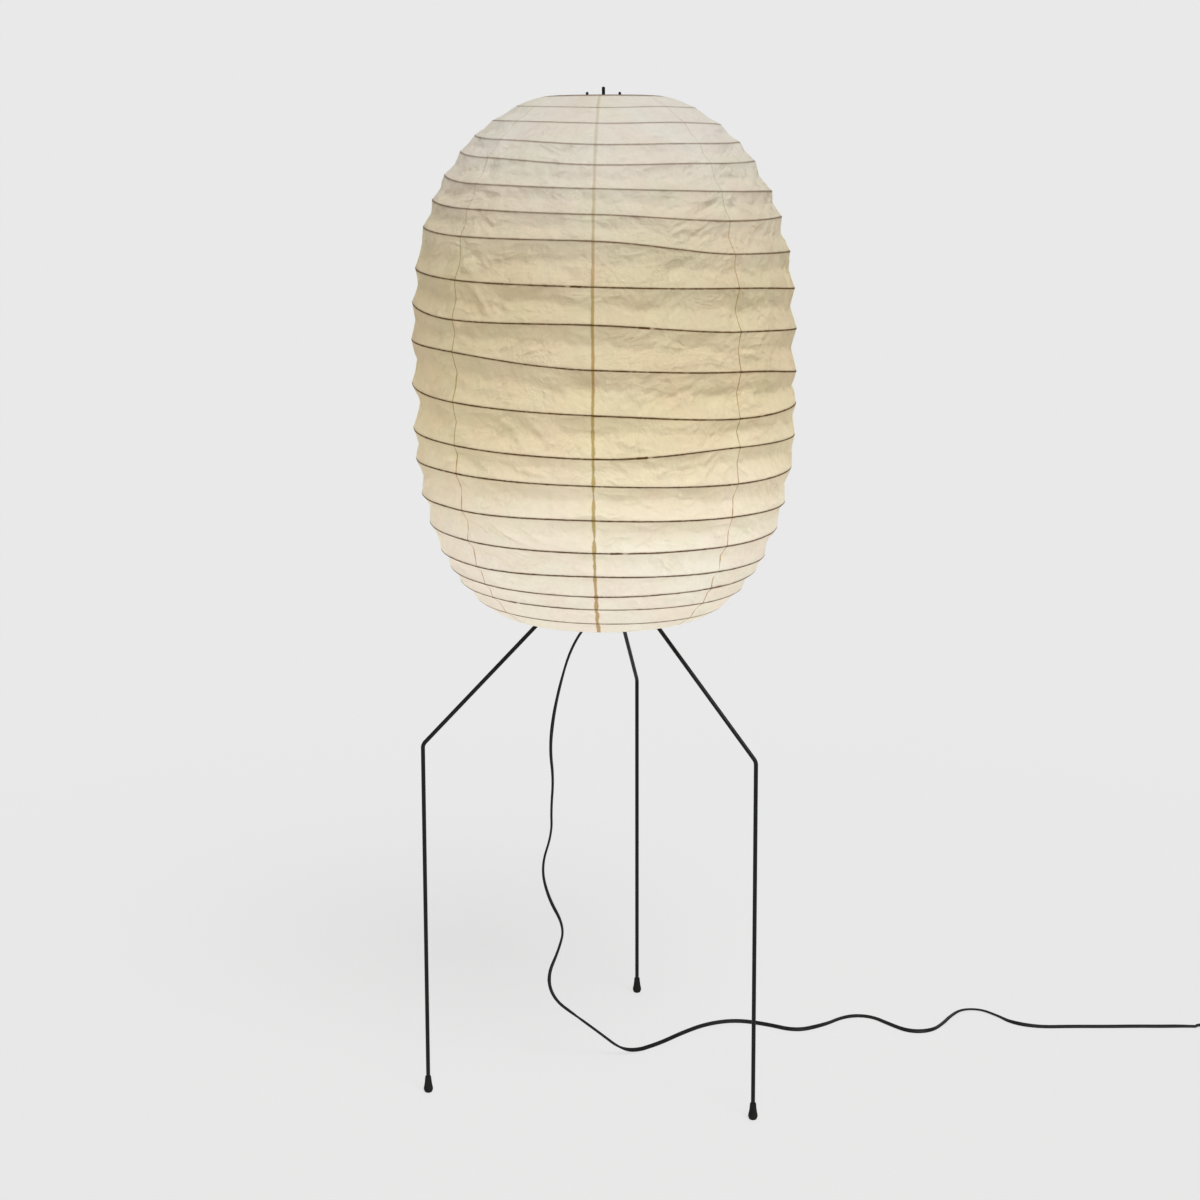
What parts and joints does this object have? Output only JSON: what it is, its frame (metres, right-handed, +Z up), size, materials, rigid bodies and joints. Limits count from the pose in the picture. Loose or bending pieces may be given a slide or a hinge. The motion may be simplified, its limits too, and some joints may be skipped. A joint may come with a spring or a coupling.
{
  "type": "paper lantern floor lamp",
  "caption": "Floor lamp with a tall paper lantern on a bamboo spiral, standing on bent rod legs, with a foot switch on its cord.",
  "frame": {"origin": "on the floor, on the vertical axis through the hub and the lantern", "axes": "+Z up, +X to the viewer's right in the picture, +Y away from the viewer"},
  "size_m": [1.5338, 0.5905, 1.55],
  "materials": {
    "black_steel": "satin black paint",
    "black_rubber": "matt moulded",
    "plain_steel": "zinc plated",
    "brass": "drawn",
    "black_plastic": "moulded, satin",
    "black_flex": "soft PVC, satin",
    "black_strap": "woven strap",
    "bulb_metal": "rolled thread",
    "bulb_glass": "frosted",
    "bamboo": "split bamboo",
    "washi_paper": "creased handmade paper"
  },
  "bodies": {
    "stand": {"bulb_base": "bulb_metal", "bulb_glass": "bulb_glass", "coil_tie": "black_strap", "cord": "black_flex", "cord_coil": "black_flex", "foot_cap_back": "black_rubber", "foot_cap_left": "black_rubber", "foot_cap_right": "black_rubber", "frame_nuts": "plain_steel", "frame_plate": "black_steel", "hub": "black_steel", "lampholder_cap": "black_plastic", "lampholder_contact": "brass", "lampholder_insulator": "black_plastic", "lampholder_nipple": "plain_steel", "lampholder_shell": "black_plastic", "lampholder_sleeve": "brass", "leg_back": "black_steel", "leg_left": "black_steel", "leg_right": "black_steel", "leg_set_screws": "plain_steel", "plug_blades": "brass", "plug_body": "black_flex", "spreader_arm_front": "black_steel", "spreader_arm_left": "black_steel", "spreader_arm_right": "black_steel", "strain_relief": "black_flex", "switch_base": "black_plastic", "switch_core": "black_plastic", "switch_cover": "black_plastic", "switch_screws": "plain_steel", "upright_collars": "black_steel", "upright_left": "black_steel", "upright_right": "black_steel"},
    "shade": {"bamboo_spiral": "bamboo", "lower_ring": "plain_steel", "paper_gore_1": "washi_paper", "paper_gore_2": "washi_paper", "paper_gore_3": "washi_paper", "paper_gore_4": "washi_paper", "paper_gore_5": "washi_paper", "paper_gore_6": "washi_paper", "paper_gore_7": "washi_paper", "paper_gore_8": "washi_paper", "shade_crossbar": "black_steel", "shade_pin": "black_steel", "upper_ring": "plain_steel"},
    "switch_button": {"switch_button": "black_plastic"}
  },
  "joints": [
    {"name": "shade_lift", "type": "slide", "parent": "stand", "child": "shade", "axis": [0, 0, 1], "range_m": [0, 0.79]},
    {"name": "switch_press", "type": "slide", "parent": "stand", "child": "switch_button", "axis": [0, 0, -1], "range_m": [0, 0.0025], "stiffness_N_per_m": 600, "springref_m": -0.002}
  ]
}
